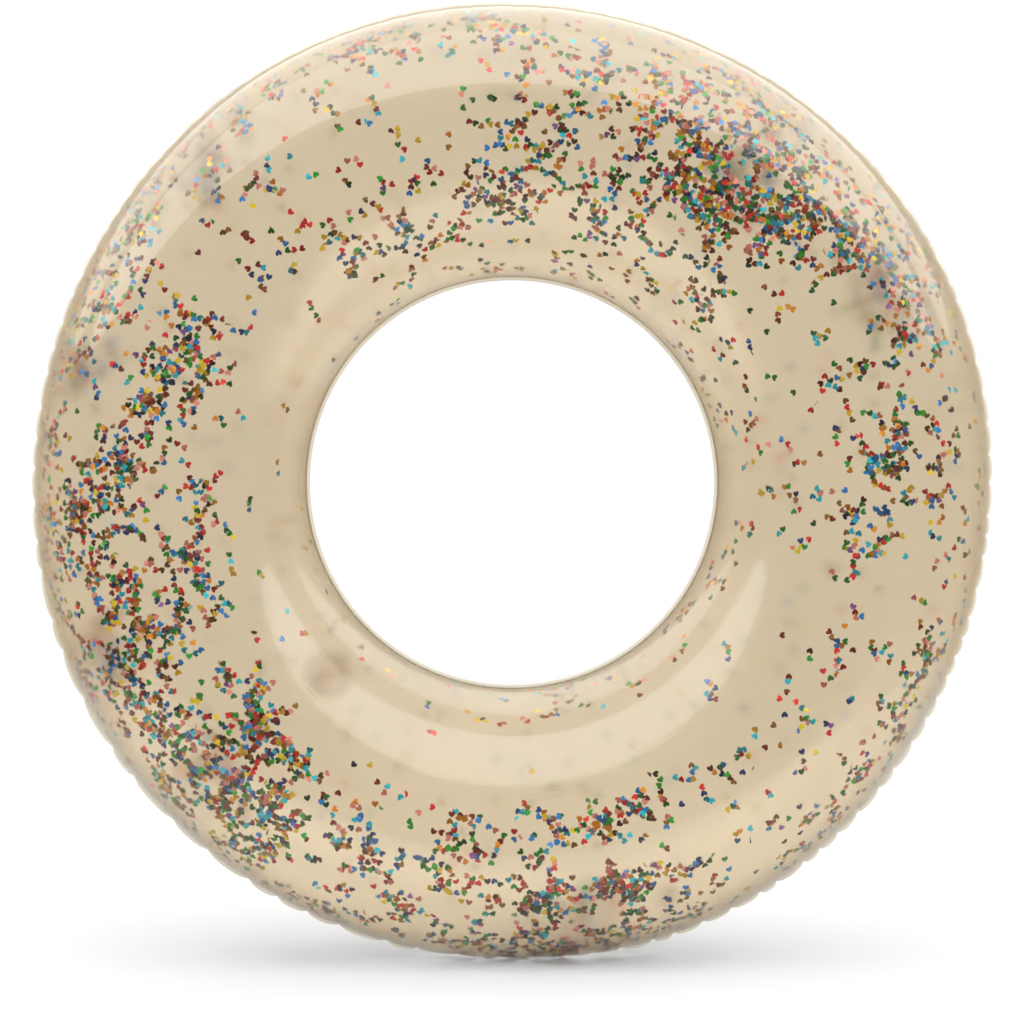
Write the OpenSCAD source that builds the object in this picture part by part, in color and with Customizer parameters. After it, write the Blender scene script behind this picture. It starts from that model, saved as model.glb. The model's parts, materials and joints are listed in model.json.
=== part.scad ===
// Inflatable pool float: a clear swim ring, blown up, with loose foil hearts in the tube and a push-in
// valve on the back. It stands upright on the floor, with X to the right, Y to the back and Z up.
// The origin is on the floor, under the middle of the ring. All sizes are in millimetres.

/* [Ring] */
// Radius from the middle of the ring to the outer side of the tube
ring_r = 337.5; // [330:0.5:350]
// Radius of the hole
hole_r = 146; // [140:0.5:152]
// Radius of the outer half of the tube's section, which is a half circle
tube_r = 86; // [82:0.5:92]
// Thickness of one film
film_t = 0.4; // [0.3:0.05:0.6]
// Width of the weld margin round the outside
outer_margin = 5; // [3:0.5:8]
// Width of the weld margin round the hole
inner_margin = 2; // [1.5:0.5:4]
// Height by which the floor presses the tube flat
rest_flat = 3.5; // [2:0.5:5]

/* [Hearts] */
// Width of one heart
heart_w = 4.1; // [3:0.1:5]
// Thickness of the foil
foil_t = 0.1; // [0.05:0.05:0.2]
// Gap between a heart and the front film
heart_gap = 0.5; // [0.4:0.1:2]
// Number of hearts of each colour
hearts_each = 24; // [6:1:30]

/* [Valve] */
// Place of the valve round the ring, counter-clockwise from the right, seen from the front
valve_turn = 226; // [200:1:340]
// Place of the valve round the tube's section, from the outside over the back
valve_lean = 120; // [100:1:130]
// Outer radius of the flange
flange_r = 18; // [16:0.5:22]
// Thickness of the flange and of the skirt
flange_t = 0.8; // [0.5:0.1:1.2]
// Radius of the round hole in the back film
film_hole_r = 11.6; // [11.5:0.1:13]
// Outer radius of the neck
neck_r = 7.2; // [6.5:0.1:7.5]
// Radius of the neck's bore
bore_r = 4.4; // [4:0.1:5]
// Height of the neck outside the film
neck_out = 17; // [16:0.5:20]
// Length of the neck inside the film
neck_in = 6; // [4:0.5:10]
// Length of the plug's shank
plug_depth = 9; // [6:0.5:11]
// Width of the tether's strap
strap_w = 4; // [3:0.5:5]

/* [Hidden] */

// Ring and section
crown_r = ring_r - tube_r;
inner_arc_r = ((crown_r - hole_r) ^ 2 + tube_r ^ 2) / (2 * tube_r);
ring_z = ring_r - rest_flat;
reach = 2 * ring_r;
round_fn = 180;
small_fn = 48;

// Hearts
colour_count = 12;
heart_side = heart_w / (0.5 * sqrt(2) + 1);
heart_rows = [28, 56, 84, 112, 140];
golden_angle = 137.5;

// Valve: heights are measured outwards along the neck from the face of the film
clearance = 0.1;
flange_bore_r = film_hole_r - 0.4;
skirt_top = 2.8;
rim_h = 1.8;
rim_r = neck_r + 0.8;
collar_h = 1.6;
collar_r = neck_r + 2;
collar_z = neck_out - rim_h - collar_h - 2 * clearance;
head_h = 1.8;
head_r = neck_r + 0.6;
shank_r = bore_r - 0.05;
plug_bore_r = 2.8;
plug_roof = 2;
lead_in = 0.8;
strap_t = 1.2;
strap_reach = 15;
strap_low = collar_z + strap_t / 2 + 0.2;
strap_high = neck_out + head_h / 2;
bend_z = (strap_low + strap_high) / 2;
bend_r = (strap_high - strap_low) / 2;
flap_r = 5.8;
flap_t = 0.6;
flap_tab_w = 4;
flap_tab_x = 6.6;

film_colour = [0.93, 0.87, 0.78, 0.35];
clear_colour = [0.9, 0.93, 0.95, 0.5];

// Stands the ring up: its own Z then points to the front, and its own Y points up
module upright() {
    translate([0, 0, ring_z]) rotate([90, 0, 0]) children();
}

// Everything above a level over the floor, in the ring's own frame
module above_floor(level) {
    translate([-reach, level - ring_z, -reach]) cube([2 * reach, 2 * reach, 2 * reach]);
}

// Front half of the tube's section, drawn in by inset and carried past the middle by past
module half_section(inset, past = 0) {
    intersection() {
        translate([crown_r, 0]) circle(tube_r - inset, $fn = round_fn);
        translate([crown_r, -past]) square(2 * tube_r);
    }
    intersection() {
        translate([crown_r, tube_r - inner_arc_r]) circle(inner_arc_r - inset, $fn = round_fn);
        translate([0, -past]) square([crown_r, 2 * tube_r]);
    }
}

// Flat ring between two radii, as thick as the film
module margin_ring(from_r, to_r) {
    difference() {
        cylinder(r = to_r, h = film_t, $fn = round_fn);
        translate([0, 0, -film_t]) cylinder(r = from_r, h = 3 * film_t, $fn = round_fn);
    }
}

// One film, blown up: half of the tube with both weld margins, pressed flat on the floor
module film() {
    difference() {
        intersection() {
            union() {
                rotate_extrude($fn = round_fn) half_section(0);
                margin_ring(ring_r - film_t / 2, ring_r + outer_margin);
                margin_ring(hole_r - inner_margin, hole_r + film_t / 2);
            }
            above_floor(0);
        }
        intersection() {
            rotate_extrude($fn = round_fn) half_section(film_t, film_t);
            above_floor(film_t);
        }
    }
}

// Point of the tube's section at an angle from its outer side, at a depth under the film's face
function section_point(lean, depth) =
    abs(lean) <= 90
    ? [crown_r + (tube_r - depth) * cos(lean), (tube_r - depth) * sin(lean)]
    : [
        crown_r + (inner_arc_r - depth) * cos(lean),
        sign(lean) * (tube_r - inner_arc_r + (inner_arc_r - depth) * sin(abs(lean)))
    ];

// Puts its children on the tube, with their Z pointing out of the film
module on_tube(turn, lean, depth = 0) {
    place = section_point(lean, depth);
    rotate([0, 0, turn]) translate([place[0], 0, place[1]]) rotate([0, 90 - lean, 0]) children();
}

// Puts its children at the valve, with their Z along the neck and their X towards the hole
module at_valve() {
    upright() on_tube(valve_turn, -valve_lean) children();
}

module front_film() {
    color(film_colour) upright() film();
}

module back_film() {
    color(film_colour) difference() {
        upright() mirror([0, 0, 1]) film();
        at_valve() cylinder(r = film_hole_r, h = 20, center = true, $fn = small_fn);
    }
}

// Washer that follows the inside of the back film round its hole
module valve_flange() {
    color(clear_colour) intersection() {
        upright() mirror([0, 0, 1]) rotate_extrude($fn = round_fn) difference() {
            half_section(film_t + clearance);
            half_section(film_t + clearance + flange_t, film_t);
        }
        at_valve() difference() {
            cylinder(r = flange_r, h = 20, center = true, $fn = small_fn);
            cylinder(r = flange_bore_r, h = 22, center = true, $fn = small_fn);
        }
    }
}

// Thin cone from the flange up to the neck
module valve_skirt() {
    inside_r = neck_r + clearance;
    outside_r = flange_bore_r - clearance;
    foot = -film_t - clearance;
    color(clear_colour) at_valve() rotate_extrude($fn = small_fn) polygon([
        [inside_r, skirt_top - flange_t],
        [inside_r, skirt_top],
        [outside_r, foot],
        [outside_r, foot - flange_t]
    ]);
}

// Straight tube with a raised rim at its outer end
module valve_neck() {
    color(clear_colour) at_valve() difference() {
        union() {
            translate([0, 0, -neck_in]) cylinder(r = neck_r, h = neck_in + neck_out, $fn = small_fn);
            translate([0, 0, neck_out - rim_h]) cylinder(r = rim_r, h = rim_h, $fn = small_fn);
        }
        translate([0, 0, -neck_in - 1]) cylinder(r = bore_r, h = neck_in + neck_out + 2, $fn = small_fn);
    }
}

// Tongue over the neck's inner end, with the tab that it bends at
module check_flap() {
    color(clear_colour) at_valve() translate([0, 0, -neck_in - clearance - flap_t]) {
        cylinder(r = flap_r, h = flap_t, $fn = small_fn);
        translate([-flap_tab_x, -flap_tab_w / 2, 0]) cube([flap_tab_x, flap_tab_w, flap_t]);
    }
}

// Flat head and a hollow shank with a tapered end
module valve_plug() {
    color(clear_colour) at_valve() difference() {
        union() {
            translate([0, 0, neck_out]) cylinder(r = head_r, h = head_h, $fn = small_fn);
            translate([0, 0, neck_out + lead_in - plug_depth])
                cylinder(r = shank_r, h = plug_depth - lead_in, $fn = small_fn);
            translate([0, 0, neck_out - plug_depth])
                cylinder(r1 = shank_r - lead_in / 2, r2 = shank_r, h = lead_in, $fn = small_fn);
        }
        translate([0, 0, neck_out - plug_depth - 1])
            cylinder(r = plug_bore_r, h = plug_depth + 1 - plug_roof, $fn = small_fn);
    }
}

// Side view of the strap: a leg from the collar, a half turn, and a leg back to the plug's head
module strap_outline() {
    collar_side = neck_r + 1;
    head_side = head_r + 3 * clearance;
    translate([-strap_reach, strap_low - strap_t / 2]) square([strap_reach - collar_side, strap_t]);
    translate([-strap_reach, strap_high - strap_t / 2]) square([strap_reach - head_side, strap_t]);
    translate([-strap_reach, bend_z]) intersection() {
        difference() {
            circle(bend_r + strap_t / 2, $fn = small_fn);
            circle(bend_r - strap_t / 2, $fn = small_fn);
        }
        translate([-2 * bend_r, -2 * bend_r]) square([2 * bend_r, 4 * bend_r]);
    }
}

// Collar round the neck with the strap that holds the plug
module plug_tether() {
    color(clear_colour) at_valve() {
        translate([0, 0, collar_z]) difference() {
            cylinder(r = collar_r, h = collar_h, $fn = small_fn);
            translate([0, 0, -1]) cylinder(r = neck_r + clearance, h = collar_h + 2, $fn = small_fn);
        }
        rotate([90, 0, 0]) translate([0, 0, -strap_w / 2]) linear_extrude(strap_w) strap_outline();
    }
}

// Outline of one heart: a square on its corner with a half circle on each upper side
module heart_outline() {
    rotate(45) square(heart_side, center = true);
    for (side = [-1, 1])
        translate([side * heart_side / sqrt(8), heart_side / sqrt(8)]) circle(d = heart_side, $fn = 24);
}

// Hearts of one colour, spread round the ring behind the front film in five rows
module hearts(colour, colour_number) {
    color(colour) upright() for (i = [0:hearts_each - 1]) {
        place_number = i * colour_count + colour_number;
        turn = place_number * 360 / (hearts_each * colour_count);
        lean = heart_rows[place_number % len(heart_rows)];
        on_tube(turn, lean, film_t + heart_gap + foil_t)
            rotate(place_number * golden_angle) linear_extrude(foil_t) heart_outline();
    }
}

front_film();
back_film();
valve_flange();
valve_skirt();
valve_neck();
check_flap();
valve_plug();
plug_tether();
hearts("FireBrick", 0);  // hearts_red
hearts("Maroon", 1);  // hearts_maroon
hearts("LightCoral", 2);  // hearts_pink
hearts("DarkOrange", 3);  // hearts_orange
hearts("Goldenrod", 4);  // hearts_gold
hearts("Olive", 5);  // hearts_bronze
hearts("ForestGreen", 6);  // hearts_green
hearts("DarkGreen", 7);  // hearts_dark_green
hearts("LightSeaGreen", 8);  // hearts_teal
hearts("RoyalBlue", 9);  // hearts_blue
hearts("MidnightBlue", 10);  // hearts_navy
hearts("RebeccaPurple", 11);  // hearts_purple
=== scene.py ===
import json
import math
import random

import bmesh
import bpy
from bpy.props import FloatProperty, FloatVectorProperty, IntProperty, PointerProperty
from mathutils import Matrix, Vector, noise


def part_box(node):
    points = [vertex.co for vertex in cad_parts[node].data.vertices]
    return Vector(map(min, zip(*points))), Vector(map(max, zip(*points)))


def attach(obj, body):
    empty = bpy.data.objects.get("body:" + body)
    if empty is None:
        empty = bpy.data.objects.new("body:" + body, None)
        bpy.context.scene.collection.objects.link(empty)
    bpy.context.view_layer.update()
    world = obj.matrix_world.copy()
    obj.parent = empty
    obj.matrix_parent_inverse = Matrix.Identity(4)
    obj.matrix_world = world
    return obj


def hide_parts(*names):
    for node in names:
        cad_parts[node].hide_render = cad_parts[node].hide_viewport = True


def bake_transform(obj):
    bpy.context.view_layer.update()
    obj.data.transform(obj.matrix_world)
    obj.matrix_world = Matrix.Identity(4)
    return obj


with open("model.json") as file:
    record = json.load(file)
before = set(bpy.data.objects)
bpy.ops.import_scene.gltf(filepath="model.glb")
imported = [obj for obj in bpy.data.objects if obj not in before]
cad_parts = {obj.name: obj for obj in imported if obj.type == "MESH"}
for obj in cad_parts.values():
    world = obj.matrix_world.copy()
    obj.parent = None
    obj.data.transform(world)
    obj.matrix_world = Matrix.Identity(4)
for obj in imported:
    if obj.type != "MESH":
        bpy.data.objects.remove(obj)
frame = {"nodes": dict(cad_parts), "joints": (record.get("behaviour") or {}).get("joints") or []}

bl_info = {
    "name": "Pool Float Builder",
    "version": (1, 0, 0),
    "blender": (4, 5, 0),
    "location": "View3D > Sidebar > Pool Float",
    "description": "Builds a clear swim ring with loose foil hearts and a push-in valve",
    "category": "Add Mesh",
}

MM = 0.001
TURN = 2 * math.pi
# Radius at which the pattern coordinates of the films and welds run true round the ring
RING_UV_R = 0.25

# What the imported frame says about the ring
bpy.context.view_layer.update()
FILM_LOW, FILM_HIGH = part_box("front_film")
MARGIN_R = FILM_HIGH.x
RING_Z = FILM_HIGH.z - MARGIN_R
TUBE_R = -FILM_LOW.y
HOLE_EDGE_R = min(
    math.hypot(v.co.x, v.co.z - RING_Z) for v in frame["nodes"]["front_film"].data.vertices
)
JOINTS = {joint["name"]: joint for joint in frame["joints"]}


def linear(code):
    """Linear colour of an sRGB hex value such as D0BEA0."""
    parts = [int(code[i:i + 2], 16) / 255 for i in (0, 2, 4)]
    return tuple(c / 12.92 if c <= 0.04045 else ((c + 0.055) / 1.055) ** 2.4 for c in parts)


# Foil colours: name, sRGB colour of the lacquer, share of all hearts
FOILS = (
    ("red", "C0181C", 12),
    ("maroon", "6C1818", 9),
    ("pink", "EE7C76", 11),
    ("orange", "EC7E18", 7),
    ("gold", "F0AA1C", 10),
    ("bronze", "7E5414", 8),
    ("green", "0E8C26", 11),
    ("dark_green", "0E5429", 9),
    ("teal", "0CA4C8", 10),
    ("blue", "1A72CC", 10),
    ("navy", "122E6C", 6),
    ("purple", "7C4898", 2),
)


def size(title, text, default, low, high):
    """A length property, in metres."""
    return FloatProperty(
        name=title, description=text, default=default, min=low, max=high, unit="LENGTH",
        subtype="DISTANCE", precision=5,
    )


def colour(title, text, code):
    """A colour property with an sRGB hex default."""
    return FloatVectorProperty(
        name=title, description=text, default=linear(code), min=0, max=1, size=3, subtype="COLOR",
    )


class RingSettings(bpy.types.PropertyGroup):
    """Sizes and colours of the films and welds"""

    outer_margin: size("Outer margin", "Width of the outer weld margin", 3.5 * MM, 2 * MM, 10 * MM)
    inner_margin: size("Inner margin", "Width of the inner weld margin", 2 * MM, 1 * MM, 5 * MM)
    film_t: size("Film", "Thickness of one film", 0.4 * MM, 0.2 * MM, 1 * MM)
    pucker_pitch: size("Pucker pitch", "Usual distance between puckers", 18 * MM, 8 * MM, 40 * MM)
    pucker_depth: size("Pucker depth", "Depth of the deepest puckers", 2.9 * MM, 0, 6 * MM)
    wobble: size("Wobble", "Slow unevenness of the tube", 1.4 * MM, 0, 4 * MM)
    film_tint: colour("Film tint", "Colour that one face of the film lets through", "EFE5D3")
    weld_tint: colour("Weld tint", "Colour of the fused margins", "F0E6D2")


class HeartSettings(bpy.types.PropertyGroup):
    """Size and number of the foil hearts"""

    width: size("Width", "Width of one heart", 4.5 * MM, 2 * MM, 8 * MM)
    foil_t: size("Foil", "Thickness of the foil", 0.05 * MM, 0.02 * MM, 0.2 * MM)
    scattered: IntProperty(name="Scattered", description="Hearts outside the drifts", default=3000, min=0)
    behind: IntProperty(name="Behind", description="Hearts alone on the back film", default=500, min=0)
    crowding: FloatProperty(name="Crowding", description="Scale of the drifts", default=1.05, min=0)
    seed: IntProperty(name="Seed", description="Start of the random draws", default=11, min=0)


class ValveSettings(bpy.types.PropertyGroup):
    """Sizes and colour of the valve's mouldings"""

    neck_in: size("Neck inside", "Length of the neck under the film", 6 * MM, 3 * MM, 12 * MM)
    film_hole_r: size("Film hole", "Radius of the hole in the film", 11.6 * MM, 10 * MM, 14 * MM)
    flange_r: size("Flange", "Outer radius of the flange", 18 * MM, 14 * MM, 25 * MM)
    tint: colour("Vinyl tint", "Colour of the clear moulded vinyl", "F1E6D6")


class StageSettings(bpy.types.PropertyGroup):
    """Floor, lamps, room and camera"""

    camera_distance: size("Camera distance", "From the ring's middle", 1.64, 0.5, 5)
    camera_z: size("Camera height", "Above the floor", 0.313, 0.1, 2)
    lens: FloatProperty(
        name="Lens", description="Focal length in millimetres", default=81, min=20, max=200
    )
    softbox_w: size("Softbox width", "Across the ring", 10, 0.5, 12)
    softbox_d: size("Softbox depth", "From over the ring to the front", 2.15, 0.5, 5)
    softbox_z: size("Softbox height", "Above the floor", 2.0, 1, 4)
    front_power: FloatProperty(
        name="Front softbox", description="Watts per square metre", default=6.0, min=0
    )
    back_power: FloatProperty(
        name="Back softbox", description="Watts per square metre", default=3.5, min=0
    )
    floor_r: size("Floor radius", "Radius of the round floor", 0.85, 0.5, 4)
    floor_colour: colour("Floor", "Colour of the matte floor", "CBCBCA")
    wall_colour: colour("Wall", "Colour of the room in reflections", "FFEDCE")


# --- Shape of the tube ---------------------------------------------------------------------------


class Section:
    """Half of the tube's section, from the outer weld over one face to the weld round the hole."""

    steps = 400
    # Lean at which the curve starts to open towards the hole, and how much further it takes
    open_from = 0.9
    open_over = 1.3

    def __init__(self, outer_r, hole_r, tube_r):
        width = outer_r - tube_r - hole_r
        hole_side_r = (width ** 2 + tube_r ** 2) / (2 * tube_r)
        last = math.pi / 2 + 2 * math.atan(tube_r / width)
        rows = []
        r, h, arc = outer_r, 0.0, 0.0
        for i in range(self.steps + 1):
            lean = last * i / self.steps
            rows.append((arc, lean, r, h))
            mix = min(max((lean - self.open_from) / self.open_over, 0), 1)
            bend_r = tube_r + (hole_side_r - tube_r) * mix * mix * (3 - 2 * mix)
            step = bend_r * last / self.steps
            r -= step * math.sin(lean)
            h += step * math.cos(lean)
            arc += step
        end_arc, _, end_r, end_h = rows[-1]
        fit = (outer_r - hole_r) / (outer_r - end_r)
        self.length = end_arc
        self.rows = [
            (arc, lean, outer_r - (outer_r - r) * fit, h - end_h * (arc / end_arc) ** 2)
            for arc, lean, r, h in rows
        ]

    def at(self, arc):
        """Lean from the ring's plane, radius and height over that plane, at an arc from the outer weld."""
        place = min(max(arc / self.length, 0), 1) * self.steps
        i = min(int(place), self.steps - 1)
        part = place - i
        return [a + (b - a) * part for a, b in zip(self.rows[i][1:], self.rows[i + 1][1:])]


class Puckers:
    """Scalloped gathers round the outer weld, where the flat-cut film has too much edge."""

    facets = 6
    # Degrees round the ring where they are widest, the stretch over which, and how much wider
    wide_turn = 222
    wide_stretch = 40
    wide_extra = 0.9
    # Depth at the top of the ring as a share of the depth at its foot
    top_share = 0.22

    def __init__(self, settings, outer_r):
        draw = random.Random(5)
        self.depth = settings.pucker_depth
        self.notches = [0.0]
        while self.notches[-1] < TURN:
            off = (math.degrees(self.notches[-1]) - self.wide_turn) / self.wide_stretch
            wider = 1 + self.wide_extra * math.exp(-off ** 2)
            pitch = settings.pucker_pitch * wider * draw.uniform(0.75, 1.35)
            self.notches.append(self.notches[-1] + pitch / outer_r)
        stretch = TURN / self.notches[-1]
        self.notches = [a * stretch for a in self.notches]
        self.lifts = [draw.uniform(-1, 1) for _ in self.notches]
        self.lifts[-1] = self.lifts[0]

    @property
    def count(self):
        """Columns of the film once round."""
        return (len(self.notches) - 1) * self.facets

    def angle(self, column, full=False):
        """Angle of a column of the film, where each notch has a column of its own."""
        if column == self.count:
            return TURN if full else 0.0
        i, part = divmod(column, self.facets)
        return self.notches[i] + (self.notches[i + 1] - self.notches[i]) * part / self.facets

    def find(self, angle):
        """Pucker at an angle, and how far along it the angle lies, from 0 to 1."""
        angle %= TURN
        low, high = 0, len(self.notches) - 1
        while high - low > 1:
            middle = (low + high) // 2
            low, high = (middle, high) if self.notches[middle] <= angle else (low, middle)
        return low, (angle - self.notches[low]) / (self.notches[low + 1] - self.notches[low])

    def pull(self, angle):
        """How far the weld is drawn in at an angle, in metres."""
        _, part = self.find(angle)
        arch = max(4 * part * (1 - part), 0) ** 0.6
        low_side = 0.5 * (1 - math.sin(angle))
        share = self.top_share + (1 - self.top_share) * low_side
        return self.depth * share * (1 - arch)

    def lift(self, angle):
        """Wave of the weld margin's edge to the front and back, from -1 to 1."""
        i, part = self.find(angle)
        smooth = part * part * (3 - 2 * part)
        return self.lifts[i] * (1 - smooth) + self.lifts[i + 1] * smooth


def settle(z, level, soft=1.2 * MM):
    """Height after the floor pushes back, with a soft start. Points 10 mm above it don't move."""
    far = 10 * MM
    gap = z - level
    return level + 0.5 * (gap + math.hypot(gap, soft)) - 0.5 * (math.hypot(far, soft) - far)


class Tube:
    """The blown-up tube: places on and under its two faces."""

    weld_half = 0.4 * MM
    floor_gap = 0.9 * MM
    # How far over the face the puckers fade, and the dent behind each notch
    gather_arc = 18 * MM
    dent_arc = 10 * MM
    dent_share = 0.2
    # Waves of the weld margin's edge to the front and back
    wave = 1.5 * MM
    wave_out = 5 * MM
    margin_gap = 0.3 * MM
    # Slow unevenness: waves round the ring, and where the outline's first one stands
    sway_waves = 3
    sway_per_metre = 14
    lobes = 4
    lobe_angle = 0.49
    lobe_sink = 0.3

    def __init__(self, settings):
        self.outer_r = MARGIN_R - settings.outer_margin
        self.hole_r = HOLE_EDGE_R + settings.inner_margin
        self.section = Section(self.outer_r, self.hole_r, TUBE_R)
        self.puckers = Puckers(settings, self.outer_r)
        self.wobble = settings.wobble

    def sway(self, angle, arc):
        """Slow unevenness along the face's normal."""
        share = math.sin(math.pi * min(arc / self.section.length, 1)) ** 0.5 if arc > 0 else 0
        round_x = self.sway_waves * math.cos(angle)
        round_z = self.sway_waves * math.sin(angle)
        rough = noise.noise(Vector((round_x, round_z, arc * self.sway_per_metre)))
        return self.wobble * 0.5 * rough * share

    def drift(self, angle, radius):
        """Slow unevenness of the ring's outline."""
        share = (radius - self.hole_r) / (self.outer_r - self.hole_r)
        return self.wobble * share * (math.cos(self.lobes * (angle - self.lobe_angle)) - self.lobe_sink)

    def place(self, angle, arc, side, depth=0.0):
        """Point at a depth under one face. side is -1 for the front film and 1 for the back film."""
        lean, radius, height = self.section.at(arc)
        pull = self.puckers.pull(angle)
        gather = pull * math.exp(-arc / self.gather_arc)
        dent = pull * self.dent_share * arc / self.dent_arc * math.exp(1 - arc / self.dent_arc)
        out = self.sway(angle, arc) - dent - depth
        r = radius + self.drift(angle, radius) + math.cos(lean) * out
        y = side * (self.weld_half + height + math.sin(lean) * out)
        z = settle(RING_Z + r * math.sin(angle), self.floor_gap + depth)
        return Vector((
            (r - gather) * math.cos(angle), y,
            max(z - gather * math.sin(angle), self.floor_gap + depth),
        ))

    def frame_at(self, angle, arc, side, depth=0.0):
        """Matrix with its origin on the face, its Z out of the film and its X towards the hole."""
        origin = self.place(angle, arc, side, depth)
        along = self.place(angle, arc + 1 * MM, side, depth) - origin
        across = self.place(angle + 1 * MM / self.outer_r, arc, side, depth) - origin
        x = along.normalized()
        z = x.cross(across).normalized() * side
        y = z.cross(x)
        return Matrix.Translation(origin) @ Matrix((x, y, z)).transposed().to_4x4()

    def margin(self, angle, out, y):
        """Point of the outer weld margin, out from the weld and y off its middle."""
        pull = self.puckers.pull(angle)
        r = self.outer_r + self.drift(angle, self.outer_r) + out
        y += self.wave * self.puckers.lift(angle) * max(out, 0) / self.wave_out
        z = RING_Z + r * math.sin(angle)
        rest = settle(z, 1.5 * self.margin_gap + 0.5 * y, self.margin_gap)
        low = max(rest - pull * math.sin(angle), self.margin_gap)
        return Vector(((r - pull) * math.cos(angle), y + (rest - z), low))


# --- Mesh helpers --------------------------------------------------------------------------------


def new_piece(name, bm, material, body, replaced=()):
    """Turns a finished bmesh into a smooth-shaded piece that rides on a body."""
    mesh = bpy.data.meshes.new(name)
    bm.to_mesh(mesh)
    bm.free()
    mesh.shade_smooth()
    piece = bpy.data.objects.new(name, mesh)
    bpy.context.scene.collection.objects.link(piece)
    mesh.materials.append(material)
    if body:
        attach(piece, body)
    if replaced:
        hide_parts(*replaced)
    return piece


def spun(points, steps):
    """A bmesh made by turning a closed outline once round Z."""
    bm = bmesh.new()
    verts = [bm.verts.new(p) for p in points]
    edges = [bm.edges.new(pair) for pair in zip(verts, verts[1:] + verts[:1])]
    bmesh.ops.spin(
        bm, geom=verts + edges, cent=(0, 0, 0), axis=(0, 0, 1), dvec=(0, 0, 0), angle=TURN,
        steps=steps, use_merge=True, use_normal_flip=False, use_duplicate=False,
    )
    bmesh.ops.remove_doubles(bm, verts=bm.verts[:], dist=1e-7)
    bmesh.ops.recalc_face_normals(bm, faces=bm.faces[:])
    return bm


def rolled(columns, rows, spot, uv_of):
    """A grid with columns round the ring and rows across it, joined wherever its edges meet."""
    bm = bmesh.new()
    bmesh.ops.create_grid(bm, x_segments=columns, y_segments=rows, size=0.5)
    uv = bm.loops.layers.uv.new("film")
    cells = {v: (round((v.co.x + 0.5) * columns), round((v.co.y + 0.5) * rows)) for v in bm.verts}
    for face in bm.faces:
        for loop in face.loops:
            loop[uv].uv = uv_of(*cells[loop.vert])
    for vert, cell in cells.items():
        vert.co = spot(*cell)
    rim = [v for v in bm.verts if v.is_boundary]
    bmesh.ops.remove_doubles(bm, verts=rim, dist=1e-6)
    return bm


def apply_modifiers(piece):
    """Bakes a piece's modifiers into its mesh."""
    graph = bpy.context.evaluated_depsgraph_get()
    mesh = bpy.data.meshes.new_from_object(piece.evaluated_get(graph))
    piece.modifiers.clear()
    piece.data = mesh


def remove(piece):
    """Deletes a piece that only served to shape another."""
    mesh = piece.data
    bpy.data.objects.remove(piece)
    bpy.data.meshes.remove(mesh)


# --- Materials -----------------------------------------------------------------------------------

# Pattern coordinates are in metres, so a noise pattern's scale is one over its size


def add_node(tree, kind, settings=None, links=None):
    """Adds a node, sets its properties and its inputs, and links the inputs that are given sockets."""
    node = tree.nodes.new("ShaderNode" + kind)
    for name, value in (settings or {}).items():
        setattr(node, name, value)
    for name, value in (links or {}).items():
        socket = node.inputs[name]
        if isinstance(value, bpy.types.NodeSocket):
            tree.links.new(value, socket)
        else:
            socket.default_value = value
    return node


def new_material(name):
    """An empty material and its node tree."""
    material = bpy.data.materials.new(name)
    material.use_nodes = True
    material.node_tree.nodes.clear()
    return material, material.node_tree


def finish_material(tree, shader, passes=None):
    """Ends a material. passes is the share of lamp and floor light that goes straight through a face."""
    surface = shader.outputs[0]
    if passes:
        clear = add_node(tree, "BsdfTransparent", None, {"Color": (passes, passes, passes, 1)})
        path = add_node(tree, "LightPath").outputs
        for ray in ("Is Shadow Ray", "Is Diffuse Ray"):
            links = {0: path[ray], 1: surface, 2: clear.outputs[0]}
            surface = add_node(tree, "MixShader", None, links).outputs[0]
    add_node(tree, "OutputMaterial", None, {"Surface": surface})


def clear_vinyl_film(tint):
    """Calendered clear PVC film with a cream tint: a sharp wet-looking gloss outside, and a soft haze
    inside that blurs what isn't touching it. Faint draw lines run round the ring by the hole."""
    line_gap, line_run, cloud_size = 2.381 * MM, 166.7 * MM, 111.1 * MM
    material, tree = new_material("calendered_clear_pvc")
    place = add_node(tree, "UVMap", {"uv_map": "film"}).outputs[0]
    stretched = add_node(
        tree, "Mapping", None, {"Vector": place, "Scale": (1 / line_run, 1 / line_gap, 1)}
    ).outputs[0]
    draw_lines = add_node(
        tree, "TexNoise", {"noise_dimensions": "2D"}, {"Vector": stretched, "Scale": 1, "Detail": 2}
    )
    across = add_node(tree, "SeparateXYZ", None, {"Vector": place}).outputs[1]
    by_hole = add_node(
        tree, "MapRange", {"interpolation_type": "SMOOTHSTEP"},
        {"Value": across, "From Min": 0.13, "From Max": 0.2, "To Min": 0.05, "To Max": 0.6},
    )
    bump = add_node(
        tree, "Bump", None,
        {"Height": draw_lines.outputs[0], "Strength": by_hole.outputs[0], "Distance": 0.12 * MM},
    )
    solid = add_node(tree, "TexCoord").outputs["Object"]
    cloud = add_node(tree, "TexNoise", None, {"Vector": solid, "Scale": 1 / cloud_size, "Detail": 3})
    haze = add_node(
        tree, "MapRange", None,
        {"Value": cloud.outputs[0], "From Min": 0.3, "From Max": 0.7, "To Min": 0.2, "To Max": 0.26},
    )
    shade = add_node(
        tree, "Mix", {"data_type": "RGBA"},
        {"Factor": cloud.outputs[0], "A": (*tint, 1), "B": (*[c * 0.97 for c in tint], 1)},
    )
    shader = add_node(
        tree, "BsdfPrincipled", None,
        {
            "Base Color": shade.outputs[2], "Roughness": haze.outputs[0], "IOR": 1.3,
            "Transmission Weight": 1, "Coat Weight": 0.7, "Coat Roughness": 0.03, "Coat IOR": 1.5,
            "Coat Normal": bump.outputs[0], "Normal": bump.outputs[0],
        },
    )
    finish_material(tree, shader, 0.88)
    return material


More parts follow.
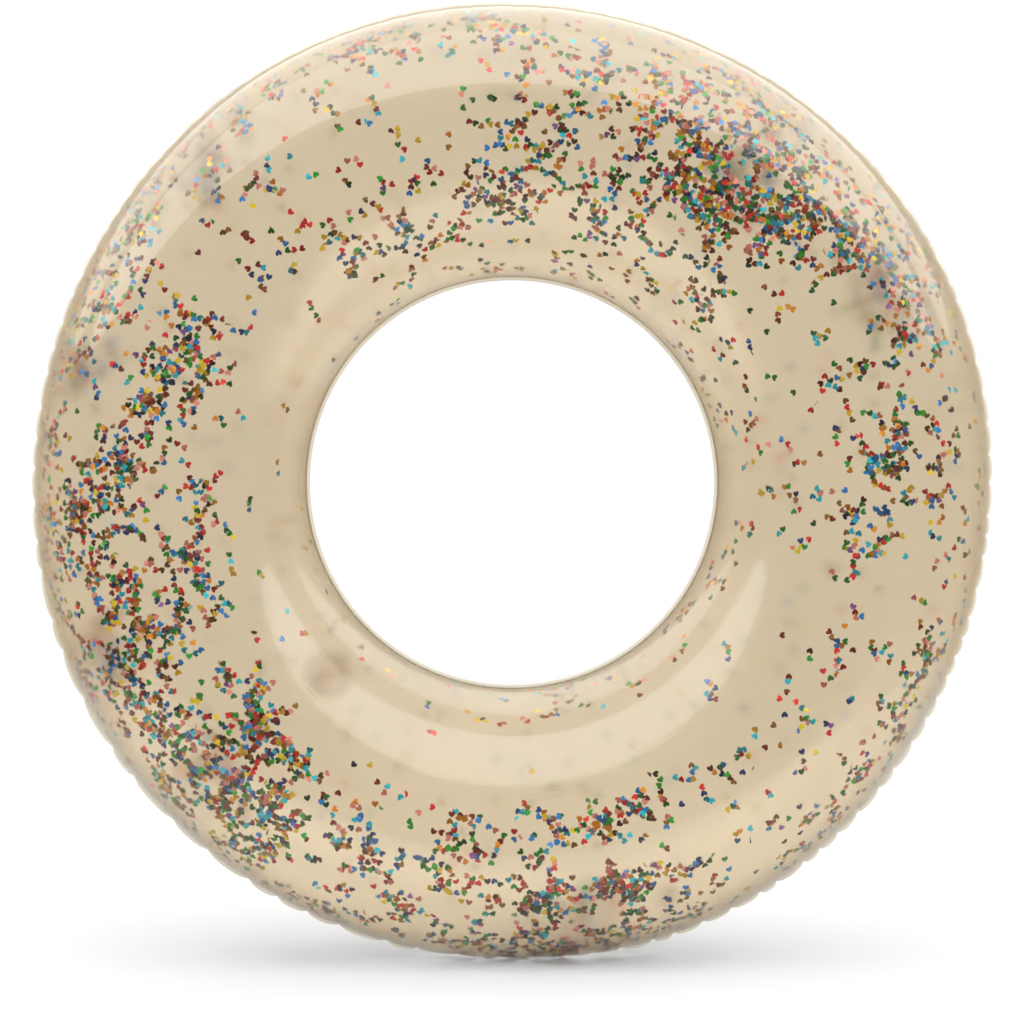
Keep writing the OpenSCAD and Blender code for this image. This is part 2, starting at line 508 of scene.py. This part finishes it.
def fused_weld(tint):
    """Radio-frequency welded PVC: both films pressed into one strip, paler and hazier than the film,
    with the electrode's fine ribs across it. The ribs' grooves get painted shade."""
    rib_pitch = 1.745 * MM
    material, tree = new_material("fused_pvc_weld")
    place = add_node(tree, "UVMap", {"uv_map": "film"}).outputs[0]
    # The wave node repeats every TURN / 20 over its scale
    ribs = add_node(
        tree, "TexWave", {"wave_type": "BANDS", "bands_direction": "X"},
        {"Vector": place, "Scale": TURN / (20 * rib_pitch), "Distortion": 0.4, "Detail": 1},
    )
    bump = add_node(
        tree, "Bump", None, {"Height": ribs.outputs[1], "Strength": 0.35, "Distance": 0.15 * MM}
    )
    # Painted shade: the colour follows the ribs' height and is 10% darker in the grooves
    shade = add_node(
        tree, "Mix", {"data_type": "RGBA"},
        {"Factor": ribs.outputs[1], "A": (*[c * 0.9 for c in tint], 1), "B": (*tint, 1)},
    )
    shader = add_node(
        tree, "BsdfPrincipled", None,
        {
            "Base Color": shade.outputs[2], "Roughness": 0.3, "IOR": 1.4,
            "Transmission Weight": 0.4, "Coat Weight": 0.6, "Coat Roughness": 0.12,
            "Normal": bump.outputs[0],
        },
    )
    finish_material(tree, shader, 0.8)
    return material


def moulded_soft_vinyl(tint):
    """Injection-moulded clear soft PVC: thick enough to bend what is seen through it, and a little
    satin from the mould's eroded skin, whose grain is drawn coarser than the real one to show."""
    grain_size = 1.111 * MM
    material, tree = new_material("moulded_soft_pvc")
    solid = add_node(tree, "TexCoord").outputs["Object"]
    grain = add_node(tree, "TexNoise", None, {"Vector": solid, "Scale": 1 / grain_size, "Detail": 2})
    bump = add_node(
        tree, "Bump", None, {"Height": grain.outputs[0], "Strength": 0.15, "Distance": 0.05 * MM}
    )
    shade = add_node(
        tree, "Mix", {"data_type": "RGBA"},
        {"Factor": grain.outputs[0], "A": (*tint, 1), "B": (*[c * 0.93 for c in tint], 1)},
    )
    shader = add_node(
        tree, "BsdfPrincipled", None,
        {
            "Base Color": shade.outputs[2], "Roughness": 0.1, "IOR": 1.25,
            "Transmission Weight": 0.97, "Coat Weight": 0.3, "Coat Roughness": 0.1,
            "Normal": bump.outputs[0],
        },
    )
    finish_material(tree, shader, 0.85)
    return material


def metallised_foil(name, tint):
    """Die-cut metallised PET: coloured lacquer over aluminium, so each heart is bright or nearly
    black by the way it faces, and the lacquer's depth changes a little from heart to heart."""
    crinkle_size = 2.381 * MM
    material, tree = new_material("metallised_pet_" + name)
    tone = add_node(tree, "Attribute", {"attribute_name": "tone"}).outputs["Fac"]
    solid = add_node(tree, "TexCoord").outputs["Object"]
    crinkle = add_node(
        tree, "TexNoise", None, {"Vector": solid, "Scale": 1 / crinkle_size, "Detail": 1}
    )
    bump = add_node(
        tree, "Bump", None, {"Height": crinkle.outputs[0], "Strength": 0.5, "Distance": 0.08 * MM}
    )
    shade = add_node(
        tree, "Mix", {"data_type": "RGBA"},
        {
            "Factor": tone,
            "A": (*[c * 0.45 for c in tint], 1),
            "B": (*[min(c * 1.9 + 0.02, 1) for c in tint], 1),
        },
    )
    shader = add_node(
        tree, "BsdfPrincipled", None,
        {
            "Base Color": shade.outputs[2], "Metallic": 0.2, "Roughness": 0.38,
            "Coat Weight": 0.4, "Coat Roughness": 0.12, "Normal": bump.outputs[0],
        },
    )
    finish_material(tree, shader)
    return material


# --- Films and welds -----------------------------------------------------------------------------


def face_arcs(length):
    """Arcs from the outer weld to the inner one, closer together by the welds."""
    shortest_mm, longest_mm = 1.6, 7.0
    arcs, arc = [], 0.0
    while arc < length - 1 * MM:
        arcs.append(arc)
        near_outer = min(arc / (40 * MM), 1)
        near_inner = min((length - arc) / (30 * MM), 1)
        arc += (shortest_mm + (longest_mm - shortest_mm) * min(near_outer, near_inner)) * MM
    arcs.append(length)
    return arcs


def film_piece(name, node, side, tube, settings, material):
    """One film: a sheet rolled round the face of the ring, gathered, and given its thickness."""
    arcs = face_arcs(tube.section.length)
    angle = tube.puckers.angle
    bm = rolled(
        tube.puckers.count, len(arcs) - 1,
        lambda column, row: tube.place(angle(column), arcs[row], side),
        lambda column, row: (RING_UV_R * angle(column, True), arcs[row]),
    )
    if side > 0:
        bmesh.ops.reverse_faces(bm, faces=bm.faces[:])
    bmesh.ops.solidify(bm, geom=bm.faces[:], thickness=settings.film_t)
    return new_piece(name, bm, material, "ring", [node])


def weld_band(name, tube, loop, place, material):
    """A closed strip round the ring. place gives the point for an angle and an outline point."""
    angle = tube.puckers.angle
    bm = rolled(
        tube.puckers.count, len(loop),
        lambda column, row: place(angle(column), *loop[row % len(loop)]),
        lambda column, row: (RING_UV_R * angle(column, True), row * MM),
    )
    bmesh.ops.recalc_face_normals(bm, faces=bm.faces[:])
    return new_piece(name, bm, material, "ring", ())


def strip_outline(low, high, half):
    """Outline of a flat strip with rounded long edges, from low to high."""
    middle = (low + high) / 2
    return [
        (low + half / 2, -half), (middle, -half), (high - half / 2, -half), (high, -half / 3),
        (high, half / 3), (high - half / 2, half), (middle, half), (low + half / 2, half),
        (low, half / 3), (low, -half / 3),
    ]


class FLOAT_OT_films(bpy.types.Operator):
    """Blow up the front and back film"""

    bl_idname = "pool_float.films"
    bl_label = "Films"

    def execute(self, context):
        settings = context.scene.float_ring
        tube = Tube(settings)
        material = clear_vinyl_film(settings.film_tint)
        film_piece("front_film_blown", "front_film", -1, tube, settings, material)
        back = film_piece("back_film_blown", "back_film", 1, tube, settings, material)
        self.punch(back, material, context.scene.float_valve)
        return {"FINISHED"}

    def punch(self, back, material, settings):
        """Round hole for the valve in the back film."""
        bm = bmesh.new()
        bmesh.ops.create_cone(
            bm, cap_ends=True, segments=48, radius1=settings.film_hole_r,
            radius2=settings.film_hole_r, depth=16 * MM, matrix=valve_matrix(settings),
        )
        punch = new_piece("punch", bm, material, None)
        whole = len(back.data.polygons)
        cut = back.modifiers.new("valve hole", "BOOLEAN")
        cut.object = punch
        cut.operation = "DIFFERENCE"
        cut.solver = "EXACT"
        apply_modifiers(back)
        remove(punch)
        if len(back.data.polygons) == whole:
            raise RuntimeError("The valve's hole wasn't cut in the back film")


class FLOAT_OT_welds(bpy.types.Operator):
    """Add the gathered outer weld margin and the smooth one round the hole"""

    bl_idname = "pool_float.welds"
    bl_label = "Welds"

    def execute(self, context):
        settings = context.scene.float_ring
        tube = Tube(settings)
        material = fused_weld(settings.weld_tint)
        half = settings.film_t
        outer = strip_outline(-0.6 * MM, settings.outer_margin, half)
        weld_band("outer_weld_margin", tube, outer, tube.margin, material)
        shift = tube.hole_r - tube.outer_r

        def by_hole(angle, out, y):
            r = tube.outer_r + out
            return Vector((r * math.cos(angle), y, RING_Z + r * math.sin(angle)))

        inner = strip_outline(shift - settings.inner_margin, shift + 0.6 * MM, half)
        weld_band("inner_weld_margin", tube, inner, by_hole, material)
        return {"FINISHED"}


# --- Valve ---------------------------------------------------------------------------------------


def valve_matrix(settings):
    """The valve's own frame: origin on the film, Z out along the neck, X towards the hole."""
    z = Vector(JOINTS["plug_pull"]["axis"]).normalized()
    y = Vector(JOINTS["flap_swing"]["axis"]).normalized()
    corners = [v.co.copy() for v in frame["nodes"]["valve_neck"].data.vertices]
    middle = sum(corners, Vector()) / len(corners)
    lowest = min((c - middle).dot(z) for c in corners)
    origin = middle + z * (lowest + settings.neck_in)
    return Matrix.Translation(origin) @ Matrix((y.cross(z), y, z)).transposed().to_4x4()


def turned_part(name, points, settings, material, body, node, round_mm=0.3, steps=64):
    """A moulding turned round the valve's own Z from (radius, height) in millimetres, with its sharp
    edges rounded."""
    bm = spun([(r * MM, 0, z * MM) for r, z in points], steps)
    sharp = [e for e in bm.edges if len(e.link_faces) == 2 and e.calc_face_angle(0) > 0.6]
    bmesh.ops.bevel(
        bm, geom=sharp, offset=round_mm * MM, offset_type="OFFSET", segments=2, profile=0.5,
        affect="EDGES", clamp_overlap=True, material=-1,
    )
    bmesh.ops.recalc_face_normals(bm, faces=bm.faces[:])
    bmesh.ops.transform(bm, matrix=valve_matrix(settings), verts=bm.verts[:])
    return new_piece(name, bm, material, body, [node])


class FLOAT_OT_valve(bpy.types.Operator):
    """Mould the valve: flange, skirt, neck, check flap, plug and tether"""

    bl_idname = "pool_float.valve"
    bl_label = "Valve"

    def execute(self, context):
        settings = context.scene.float_valve
        tube = Tube(context.scene.float_ring)
        vinyl = moulded_soft_vinyl(settings.tint)
        valve = valve_matrix(settings)
        out = Vector(JOINTS["plug_pull"]["axis"]).normalized()
        self.flange(settings, tube, vinyl, valve, context.scene.float_ring.film_t)
        skirt = turned_part(
            "valve_skirt_cone",
            [(7.25, 2.0), (7.25, 2.9), (8.2, 2.5), (9.2, 1.2), (10.1, 0.1), (11.3, -0.5),
             (11.3, -1.3), (10.0, -1.0), (9.0, -0.1), (8.2, 1.3)],
            settings, vinyl, None, "valve_skirt", 0.2,
        )
        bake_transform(skirt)
        turned_part(
            "valve_neck_tube",
            [(4.4, -6), (7.2, -6), (7.2, 12.9), (7.2, 15.0), (8.0, 15.4), (8.0, 17), (4.4, 17)],
            settings, vinyl, "neck", "valve_neck",
        )
        turned_part(
            "valve_plug_cap",
            [(0.001, 10), (2.8, 10), (2.8, 8), (3.95, 8), (4.35, 8.8), (4.35, 17.02), (7.8, 17.02),
             (7.8, 18.2), (6.6, 18.9), (0.001, 19.1)],
            settings, vinyl, "plug", "valve_plug",
        )
        self.flap(settings, vinyl, valve)
        self.tether(settings, vinyl, valve, out)
        return {"FINISHED"}

    def flange(self, settings, tube, vinyl, valve, film_t):
        """Washer under the film, lapped round the hole, with a raised bead at its rim."""
        turn = math.atan2(valve.translation.z - RING_Z, valve.translation.x)
        radius = math.hypot(valve.translation.z - RING_Z, valve.translation.x)
        arcs = [i * MM for i in range(int(tube.section.length / MM))]
        half_way = tube.section.length / 2
        arc = min(
            (a for a in arcs if a > half_way), key=lambda a: abs(tube.section.at(a)[1] - radius)
        )
        hole, rim = settings.film_hole_r - 0.4 * MM, settings.flange_r
        rings = [(hole, 0.1), (hole, 0.9), (rim - 2 * MM, 0.9), (rim - 1.2 * MM, 1.3),
                 (rim, 1.1), (rim, 0.1)]
        bm = spun([(r, 0, depth * MM) for r, depth in rings], 64)
        for vert in bm.verts:
            x, y, depth = vert.co
            vert.co = tube.place(turn + y / radius, arc + x, 1, film_t + depth)
        if bm.calc_volume(signed=True) < 0:
            bmesh.ops.reverse_faces(bm, faces=bm.faces[:])
        new_piece("valve_flange_washer", bm, vinyl, "ring", ["valve_flange"])

    def flap(self, settings, vinyl, valve):
        """Thin tongue over the neck's inner end."""
        bm = bmesh.new()
        bmesh.ops.create_cone(
            bm, cap_ends=True, segments=40, radius1=5.8 * MM, radius2=5.8 * MM, depth=0.6 * MM,
            matrix=Matrix.Translation((0, 0, -6.4 * MM)),
        )
        bmesh.ops.create_cube(
            bm, size=1,
            matrix=Matrix.Translation((-5.6 * MM, 0, -6.4 * MM))
            @ Matrix.Diagonal((2 * MM, 4 * MM, 0.5 * MM, 1)),
        )
        sharp = [e for e in bm.edges if e.calc_face_angle(0) > 0.6]
        bmesh.ops.bevel(
            bm, geom=sharp, offset=0.12 * MM, offset_type="OFFSET", segments=2, profile=0.5,
            affect="EDGES", clamp_overlap=True, material=-1,
        )
        bmesh.ops.transform(bm, matrix=valve, verts=bm.verts[:])
        new_piece("check_flap_tongue", bm, vinyl, "flap", ["check_flap"])

    def tether(self, settings, vinyl, valve, out):
        """Collar round the neck, and a strap that loops up to the plug's head."""
        bm = spun(
            [(7.3 * MM, 0, 13.4 * MM), (9.2 * MM, 0, 13.5 * MM), (9.2 * MM, 0, 14.9 * MM),
             (7.3 * MM, 0, 15.0 * MM)],
            48,
        )
        low, high, reach, bend = 14.2, 17.9, 15.0, 1.85
        route = [(-7.9, low), (-10, low), (-12.5, low)]
        route += [
            (-reach - bend * math.sin(a), (low + high) / 2 - bend * math.cos(a))
            for a in [math.pi * i / 10 for i in range(11)]
        ]
        route += [(-12.5, high), (-10, high), (-7.4, high)]
        half_w, half_t = 2.0 * MM, 0.6 * MM
        rings = []
        for i, (x, z) in enumerate(route):
            before, after = route[max(i - 1, 0)], route[min(i + 1, len(route) - 1)]
            way = Vector((after[0] - before[0], after[1] - before[1])).normalized()
            up = Vector((-way.y, 0, way.x)) * half_t
            side = Vector((0, half_w, 0))
            at = Vector((x * MM, 0, z * MM))
            corners = [at + side * 0.8 + up, at - side * 0.8 + up, at - side + up * 0.4,
                       at - side - up * 0.4, at - side * 0.8 - up, at + side * 0.8 - up,
                       at + side - up * 0.4, at + side + up * 0.4]
            rings.append([bm.verts.new(c) for c in corners])
        edges = [
            [bm.edges.new(pair) for pair in zip(ring, ring[1:] + ring[:1])] for ring in rings
        ]
        for a, b in zip(edges, edges[1:]):
            bmesh.ops.bridge_loops(bm, edges=a + b)
        bmesh.ops.contextual_create(bm, geom=edges[0])
        bmesh.ops.contextual_create(bm, geom=edges[-1])
        bmesh.ops.recalc_face_normals(bm, faces=bm.faces[:])
        bmesh.ops.transform(bm, matrix=valve, verts=bm.verts[:])
        strap = new_piece("plug_tether_strap", bm, vinyl, None, ["plug_tether"])
        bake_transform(strap)


# --- Hearts --------------------------------------------------------------------------------------

# Drifts of hearts on the front film: degrees round the ring from the right, millimetres from the
# outer weld over the face, spread across in millimetres, number of hearts
DRIFTS = (
    (4, 141, 16, 100), (15, 131, 14, 35), (25, 107, 14, 90), (27, 40, 14, 30), (35, 60, 14, 30),
    (35, 111, 14, 130), (43, 139, 12, 130), (45, 99, 18, 80), (45, 212, 12, 40), (46, 159, 10, 60),
    (50, 165, 8, 40), (54, 161, 12, 140), (55, 114, 16, 90), (56, 60, 18, 50), (64, 179, 14, 60),
    (65, 136, 12, 120), (65, 210, 12, 33), (66, 101, 14, 50), (75, 112, 12, 50), (75, 212, 12, 28),
    (85, 212, 10, 33), (86, 157, 12, 50), (86, 185, 12, 30), (90, 70, 16, 30), (95, 40, 12, 40),
    (95, 212, 10, 33), (103, 228, 10, 14), (106, 62, 16, 70), (115, 214, 9, 25), (124, 198, 12, 25),
    (126, 52, 16, 50), (133, 131, 9, 16), (136, 55, 18, 80), (146, 75, 20, 90), (155, 75, 22, 70),
    (156, 157, 12, 75), (165, 48, 16, 70), (165, 161, 11, 95), (174, 48, 16, 60),
    (175, 147, 11, 85), (184, 95, 14, 30), (184, 113, 11, 100), (184, 182, 12, 30),
    (185, 45, 16, 80), (195, 60, 14, 40), (195, 117, 14, 100), (195, 177, 14, 75),
    (205, 48, 14, 60), (205, 109, 16, 110), (205, 151, 10, 40), (215, 109, 12, 100),
    (216, 162, 8, 35), (222, 50, 16, 30), (225, 97, 16, 90), (225, 127, 10, 70), (225, 159, 9, 120),
    (225, 165, 7, 40), (234, 127, 12, 80), (235, 89, 14, 100), (245, 42, 14, 50),
    (245, 121, 12, 55), (255, 113, 22, 60), (262, 165, 8, 20), (265, 58, 16, 70),
    (265, 141, 14, 28), (273, 162, 8, 25), (275, 55, 14, 110), (275, 114, 9, 100),
    (284, 165, 6, 40), (285, 58, 14, 90), (285, 113, 9, 110), (293, 167, 6, 18), (295, 52, 16, 30),
    (304, 167, 8, 14), (315, 64, 14, 35), (324, 139, 9, 14), (325, 76, 8, 32), (334, 76, 8, 36),
    (343, 165, 9, 10), (355, 151, 18, 35),
)
# The same for hearts on the back film
BACK_DRIFTS = (
    (135, 60, 20, 110), (165, 50, 20, 80), (205, 55, 22, 130), (225, 80, 26, 130),
    (30, 80, 24, 120), (55, 90, 28, 120), (280, 55, 20, 120),
)
# Spread round the ring of every drift, in degrees
DRIFT_TURN = 3.4
# Stretches where the front film is nearly bare: degrees from and to, millimetres from the outer weld
# from and to, and the chance that a scattered heart stays there
BARE_PATCHES = (
    (190, 345, 175, 240, 0.16), (130, 262, 195, 400, 0.25), (98, 146, 105, 160, 0.4),
    (300, 352, 90, 150, 0.5),
)
# Millimetres by the outer and inner weld that the hearts keep out of
OUTER_CLEAR_MM = 9
INNER_CLEAR_MM = 5


def stay_chance(turn, arc_mm):
    """Chance that a scattered heart stays where it fell."""
    for turn_from, turn_to, arc_from, arc_to, chance in BARE_PATCHES:
        if turn_from < turn < turn_to and arc_from < arc_mm < arc_to:
            return chance
    return 1.0


def chain(draw, turn, arc_mm, count, radius_mm):
    """Places of a few hearts that cling together in a short crooked line."""
    way = draw.uniform(0, TURN)
    places = []
    for _ in range(count):
        places.append((turn, arc_mm))
        way += draw.gauss(0, 0.9)
        step = draw.uniform(3.0, 5.4)
        turn += math.degrees(step * math.cos(way) / radius_mm)
        arc_mm += step * math.sin(way)
    return places


def heart_places(settings, tube, draw):
    """All hearts as (turn, arc, side, depth, crowding)."""
    last_mm = tube.section.length / MM - INNER_CLEAR_MM
    found = []

    def spread(turn, arc_mm, side, crowd):
        if OUTER_CLEAR_MM < arc_mm < last_mm:
            piled = draw.expovariate(1 / (0.5 + 1.6 * crowd))
            found.append((math.radians(turn), arc_mm * MM, side, (0.75 + piled) * MM, crowd))

    while len(found) < settings.scattered:
        turn, arc_mm = draw.uniform(0, 360), draw.uniform(OUTER_CLEAR_MM, last_mm)
        radius = tube.section.at(arc_mm * MM)[1]
        if draw.random() < radius / tube.outer_r * stay_chance(turn, arc_mm):
            count = draw.choice((1, 1, 1, 2, 2, 3))
            for place in chain(draw, turn, arc_mm, count, radius / MM):
                spread(*place, -1, 0.1)
    for drifts, side in ((DRIFTS, -1), (BACK_DRIFTS, 1)):
        for turn, arc_mm, across, number in drifts:
            left = number * settings.crowding
            while left > 0:
                count = draw.choice((1, 2, 3, 4, 6, 8))
                start = (draw.gauss(turn, DRIFT_TURN), draw.gauss(arc_mm, across))
                radius = tube.section.at(start[1] * MM)[1]
                for place in chain(draw, *start, count, radius / MM):
                    spread(*place, side, 0.7)
                left -= count
    for _ in range(settings.behind):
        spread(draw.uniform(0, 360), draw.uniform(OUTER_CLEAR_MM, last_mm), 1, 0.1)
    return found


# Half of a heart as shares of its width, from the notch round the lobe to the point
HALF_HEART = (
    (0, 0.20), (0.09, 0.37), (0.25, 0.44), (0.42, 0.38), (0.50, 0.20), (0.48, 0.00),
    (0.32, -0.24), (0, -0.50),
)
# Curl of a heart, as its sag over half its width in half widths: most lie flat
CURLS = (0, 0, 0, 0, 0.15, 0.35)


def heart_template(width, foil_t):
    """Two mirrored halves that meet along the middle, so that a heart can curl or fold there."""
    bm = bmesh.new()
    half = [bm.verts.new((x * width, y * width, 0)) for x, y in HALF_HEART]
    bm.faces.new(half[::-1])
    bmesh.ops.mirror(bm, geom=bm.verts[:] + bm.edges[:] + bm.faces[:], axis="X", merge_dist=1e-6)
    bmesh.ops.recalc_face_normals(bm, faces=bm.faces[:])
    bmesh.ops.solidify(bm, geom=bm.faces[:], thickness=foil_t)
    bmesh.ops.recalc_face_normals(bm, faces=bm.faces[:])
    return bm


class FLOAT_OT_hearts(bpy.types.Operator):
    """Scatter the foil hearts inside the tube, one piece for each colour"""

    bl_idname = "pool_float.hearts"
    bl_label = "Hearts"

    def execute(self, context):
        settings = context.scene.float_hearts
        tube = Tube(context.scene.float_ring)
        valve = valve_matrix(context.scene.float_valve).translation
        clear = context.scene.float_valve.flange_r + settings.width
        draw = random.Random(settings.seed)
        names, weights = [f[0] for f in FOILS], [f[2] for f in FOILS]
        groups = {name: [] for name in names}
        for turn, arc, side, depth, crowd in heart_places(settings, tube, draw):
            tilt = abs(draw.gauss(0, 0.09 + 0.22 * crowd))
            if draw.random() < 0.08:
                # A few stand nearly on edge
                tilt = draw.uniform(0.4, 1.3)
            tilt = min(tilt, 1.4)
            room = depth + 0.5 * settings.width * math.sin(tilt)
            if (tube.place(turn, arc, side, room) - valve).length < clear:
                continue
            groups[draw.choices(names, weights)[0]].append({
                "matrix": tube.frame_at(turn, arc, side, room)
                @ Matrix.Rotation(draw.uniform(0, TURN), 4, "Z")
                @ Matrix.Rotation(tilt, 4, "X")
                @ Matrix.Rotation(draw.uniform(0, TURN), 4, "Z"),
                "curl": draw.choice(CURLS) / settings.width,
                "tone": min(max(draw.gauss(0.5, 0.32), 0), 1),
            })
        for name, code, _ in FOILS:
            if not groups[name]:
                raise RuntimeError("No hearts of the colour " + name)
            self.group(name, groups[name], settings, metallised_foil(name, linear(code)))
        return {"FINISHED"}

    def group(self, name, hearts, settings, material):
        """All hearts of one colour in one mesh: copies of the template, each bent and put in place."""
        template = bpy.data.meshes.new("heart")
        cut = heart_template(settings.width, settings.foil_t)
        rest = [v.co.copy() for v in cut.verts]
        cut.to_mesh(template)
        cut.free()
        bm = bmesh.new()
        tone = bm.verts.layers.float.new("tone")
        for _ in hearts:
            bm.from_mesh(template)
        bpy.data.meshes.remove(template)
        bm.verts.ensure_lookup_table()
        for i, heart in enumerate(hearts):
            for j, co in enumerate(rest):
                vert = bm.verts[i * len(rest) + j]
                bent = Vector((co.x, co.y, co.z - heart["curl"] * co.x * co.x * 2))
                vert.co = heart["matrix"] @ bent
                vert[tone] = heart["tone"]
        piece = new_piece("foil_" + name, bm, material, "ring", ["hearts_" + name])
        for polygon in piece.data.polygons:
            polygon.use_smooth = False


# --- Stage ---------------------------------------------------------------------------------------


class FLOAT_OT_stage(bpy.types.Operator):
    """Set up the floor, the soft lights, the white room and the camera"""

    bl_idname = "pool_float.stage"
    bl_label = "Stage"

    def execute(self, context):
        settings = context.scene.float_stage
        self.floor(settings)
        half, shift = settings.softbox_d / 2, 50 * MM
        self.softbox("front_softbox", shift - half, settings, settings.front_power)
        self.softbox("back_softbox", shift + half, settings, settings.back_power)
        self.room(context.scene, settings)
        self.camera(context.scene, settings)
        context.scene.view_settings.view_transform = "Standard"
        return {"FINISHED"}

    def floor(self, settings):
        """Matte painted floor with the faintest mottle."""
        bm = bmesh.new()
        bmesh.ops.create_circle(
            bm, cap_ends=True, cap_tris=True, segments=96, radius=settings.floor_r,
            matrix=Matrix.Translation((0, 0.4 * settings.floor_r, 0)),
        )
        material, tree = new_material("matte_white_floor")
        solid = add_node(tree, "TexCoord").outputs["Object"]
        mottle_size = 166.7 * MM
        mottle = add_node(
            tree, "TexNoise", None, {"Vector": solid, "Scale": 1 / mottle_size, "Detail": 3}
        )
        shade = add_node(
            tree, "Mix", {"data_type": "RGBA"},
            {
                "Factor": mottle.outputs[0], "A": (*settings.floor_colour, 1),
                "B": (*[c * 0.98 for c in settings.floor_colour], 1),
            },
        )
        shader = add_node(
            tree, "BsdfPrincipled", None,
            {"Base Color": shade.outputs[2], "Roughness": 0.9, "Specular IOR Level": 0.1},
        )
        finish_material(tree, shader)
        new_piece("floor", bm, material, None)

    def softbox(self, name, y, settings, power):
        """Oval lamp overhead, facing down."""
        light = bpy.data.lights.new(name, "AREA")
        light.shape = "ELLIPSE"
        light.size = settings.softbox_w
        light.size_y = settings.softbox_d
        light.energy = power * light.size * light.size_y * math.pi / 4
        box = bpy.data.objects.new(name, light)
        box.location = (0, y, settings.softbox_z)
        box.visible_camera = False
        bpy.context.scene.collection.objects.link(box)

    def room(self, scene, settings):
        """White behind and through the clear film; a dimmer room, darkest in front, in reflections."""
        world = bpy.data.worlds.new("studio")
        scene.world = world
        world.use_nodes = True
        tree = world.node_tree
        tree.nodes.clear()
        mirrored = add_node(
            tree, "Math", {"operation": "GREATER_THAN"},
            {0: add_node(tree, "LightPath").outputs["Glossy Depth"], 1: 0.5},
        )
        way = add_node(tree, "TexCoord").outputs["Object"]
        depth = add_node(tree, "SeparateXYZ", None, {"Vector": way}).outputs[1]
        room = add_node(
            tree, "MapRange", {"interpolation_type": "SMOOTHSTEP"},
            {"Value": depth, "From Min": -0.4, "From Max": 0.5, "To Min": 0.15, "To Max": 0.82},
        )
        strength = add_node(
            tree, "Mix", {"data_type": "FLOAT"},
            {"Factor": mirrored.outputs[0], "A": 1.0, "B": room.outputs[0]},
        )
        shade = add_node(
            tree, "Mix", {"data_type": "RGBA"},
            {"Factor": mirrored.outputs[0], "A": (1, 1, 1, 1), "B": (*settings.wall_colour, 1)},
        )
        back = add_node(
            tree, "Background", None, {"Color": shade.outputs[2], "Strength": strength.outputs[0]}
        )
        world.cycles.sampling_method = "NONE"
        add_node(tree, "OutputWorld", None, {"Surface": back.outputs[0]})

    def camera(self, scene, settings):
        """Camera square to the ring, looking level."""
        data = bpy.data.cameras.new("camera")
        data.lens = settings.lens
        data.sensor_width = 36
        camera = bpy.data.objects.new("camera", data)
        camera.location = (0, -settings.camera_distance, settings.camera_z)
        camera.rotation_euler = (math.pi / 2, 0, 0)
        scene.collection.objects.link(camera)
        scene.camera = camera


# --- Add-on --------------------------------------------------------------------------------------

STEPS = (FLOAT_OT_stage, FLOAT_OT_films, FLOAT_OT_welds, FLOAT_OT_valve, FLOAT_OT_hearts)
GROUPS = (
    ("float_ring", RingSettings), ("float_hearts", HeartSettings),
    ("float_valve", ValveSettings), ("float_stage", StageSettings),
)


class FLOAT_PT_panel(bpy.types.Panel):
    """Buttons for each part of the pool float, and its sizes"""

    bl_idname = "FLOAT_PT_panel"
    bl_label = "Pool Float"
    bl_space_type = "VIEW_3D"
    bl_region_type = "UI"
    bl_category = "Pool Float"

    def draw(self, context):
        for step in STEPS:
            self.layout.operator(step.bl_idname)
        for name, group in GROUPS:
            box = self.layout.box()
            for key in group.__annotations__:
                box.prop(getattr(context.scene, name), key)


def register():
    for name, group in GROUPS:
        bpy.utils.register_class(group)
        setattr(bpy.types.Scene, name, PointerProperty(type=group))
    for cls in (*STEPS, FLOAT_PT_panel):
        bpy.utils.register_class(cls)


def unregister():
    for cls in (FLOAT_PT_panel, *reversed(STEPS)):
        bpy.utils.unregister_class(cls)
    for name, group in reversed(GROUPS):
        delattr(bpy.types.Scene, name)
        bpy.utils.unregister_class(group)


def main():
    """Registers the add-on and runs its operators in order."""
    register()
    for step in STEPS:
        group, name = step.bl_idname.split(".")
        getattr(getattr(bpy.ops, group), name)()


if __name__ == "__main__":
    main()
